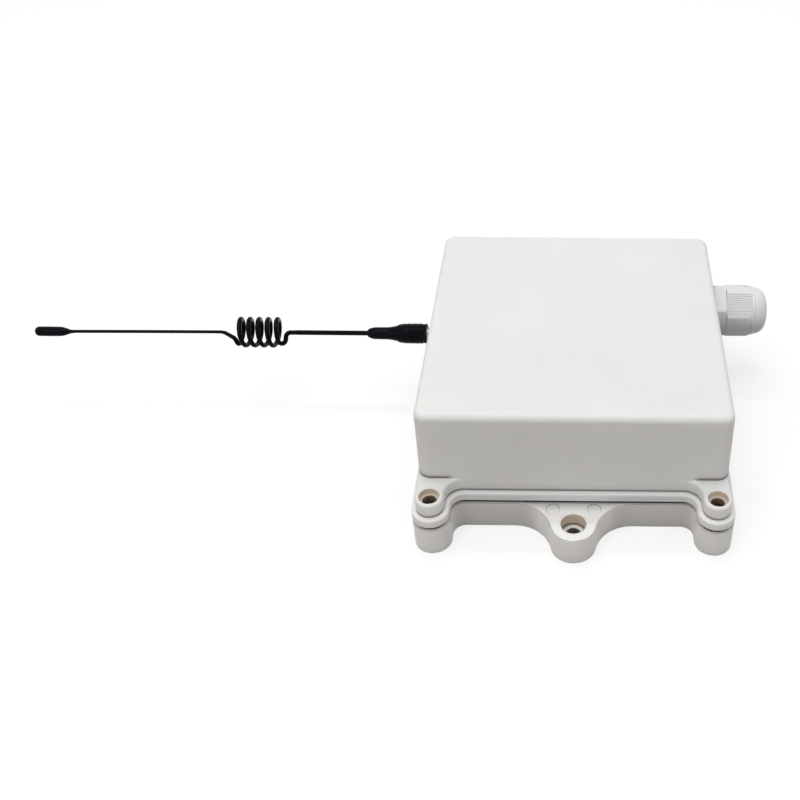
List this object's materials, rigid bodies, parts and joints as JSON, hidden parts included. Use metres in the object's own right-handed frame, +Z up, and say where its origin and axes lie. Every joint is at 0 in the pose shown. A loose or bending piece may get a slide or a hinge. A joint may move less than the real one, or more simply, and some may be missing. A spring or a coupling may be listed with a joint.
{
  "type": "wireless remote transmitter",
  "caption": "Weatherproof wall-mounted radio transmitter: a deep pale box on a base with mounting ears, a cable gland on one side and a black coil-loaded whip antenna on the other.",
  "frame": {"origin": "middle of the mounting base's underside, which rests on the mounting surface", "axes": "+Z up out of the mounting surface, +X towards the cable gland, -X along the antenna, -Y the front side with the mounting ear that the picture shows"},
  "size_m": [0.2952, 0.1552, 0.0516],
  "materials": {
    "case_plastic": "satin moulded, light warm grey",
    "gland_plastic": "smooth moulded, near white",
    "seal_rubber": "matt black",
    "screw_steel": "zinc plated",
    "plain_brass": "turned, bare",
    "gold_brass": "gold plated",
    "nickel_brass": "bright nickel plated",
    "insulator": "matt white",
    "boot_rubber": "satin black",
    "whip_black": "satin black lacquer on steel wire",
    "sleeve_black": "black shrink sleeve",
    "board_green": "green solder resist on glass laminate",
    "terminal_green": "moulded green",
    "supply_black": "potted block",
    "capacitor_can": "dark sleeve on an aluminium can",
    "chip_black": "moulded package",
    "tin_can": "tinned sheet",
    "light_lens": "clear tinted",
    "switch_plastic": "moulded",
    "plunger_plastic": "moulded",
    "lead_jacket": "jacket of the thin coaxial lead"
  },
  "bodies": {
    "base": {"mounting_base": "case_plastic", "cover_screws": "screw_steel"},
    "learn_button": {"learn_plunger": "plunger_plastic"},
    "cable_seal": {"gland_seal": "seal_rubber"},
    "gland_nut": {"gland_cap": "gland_plastic"},
    "antenna_contact": {"plug_pin": "gold_brass", "plug_disc": "insulator"},
    "antenna": {"antenna_coupling": "nickel_brass", "antenna_boot": "boot_rubber", "whip_coil": "whip_black", "whip_rod": "whip_black", "whip_sleeve": "sleeve_black", "whip_tip": "boot_rubber"},
    "housing": {"housing": "case_plastic", "gasket": "seal_rubber", "brass_inserts": "plain_brass", "gland_washer": "seal_rubber", "gland_body": "gland_plastic", "gland_locknut": "gland_plastic", "antenna_jack": "nickel_brass", "jack_core": "insulator", "jack_contact": "gold_brass", "jack_washer": "nickel_brass", "jack_nut": "nickel_brass", "circuit_board": "board_green", "board_screws": "screw_steel", "terminal_block": "terminal_green", "terminal_screws": "screw_steel", "power_supply": "supply_black", "capacitors": "capacitor_can", "control_chip": "chip_black", "crystal": "tin_can", "status_light": "light_lens", "learn_switch": "switch_plastic", "radio_module": "board_green", "radio_shield": "tin_can", "antenna_lead": "lead_jacket"}
  },
  "joints": [
    {"name": "housing_lift", "type": "slide", "parent": "base", "child": "housing", "axis": [0, 0, 1], "range_m": [0, 0.06]},
    {"name": "learn_press", "type": "slide", "parent": "housing", "child": "learn_button", "axis": [0, 0, 1], "range_m": [0, 0.0003], "stiffness_N_per_m": 4000},
    {"name": "gland_advance", "type": "slide", "parent": "housing", "child": "cable_seal", "axis": [1, 0, 0], "range_m": [0, 0.0061]},
    {"name": "gland_turn", "type": "hinge", "parent": "cable_seal", "child": "gland_nut", "pos_m": [0.07064, 0.0305, 0.033], "axis": [1, 0, 0], "range_deg": [0, 1440]},
    {"name": "antenna_advance", "type": "slide", "parent": "housing", "child": "antenna_contact", "axis": [-1, 0, 0], "range_m": [0, 0.004]},
    {"name": "antenna_turn", "type": "hinge", "parent": "antenna_contact", "child": "antenna", "pos_m": [-0.06713, 0.0127, 0.033], "axis": [-1, 0, 0], "range_deg": [0, 1980]}
  ],
  "couplings": [
    {"joint": "gland_advance", "follows": "gland_turn", "m_per_rad": 0.00023873},
    {"joint": "antenna_advance", "follows": "antenna_turn", "m_per_rad": 0.0001123}
  ]
}
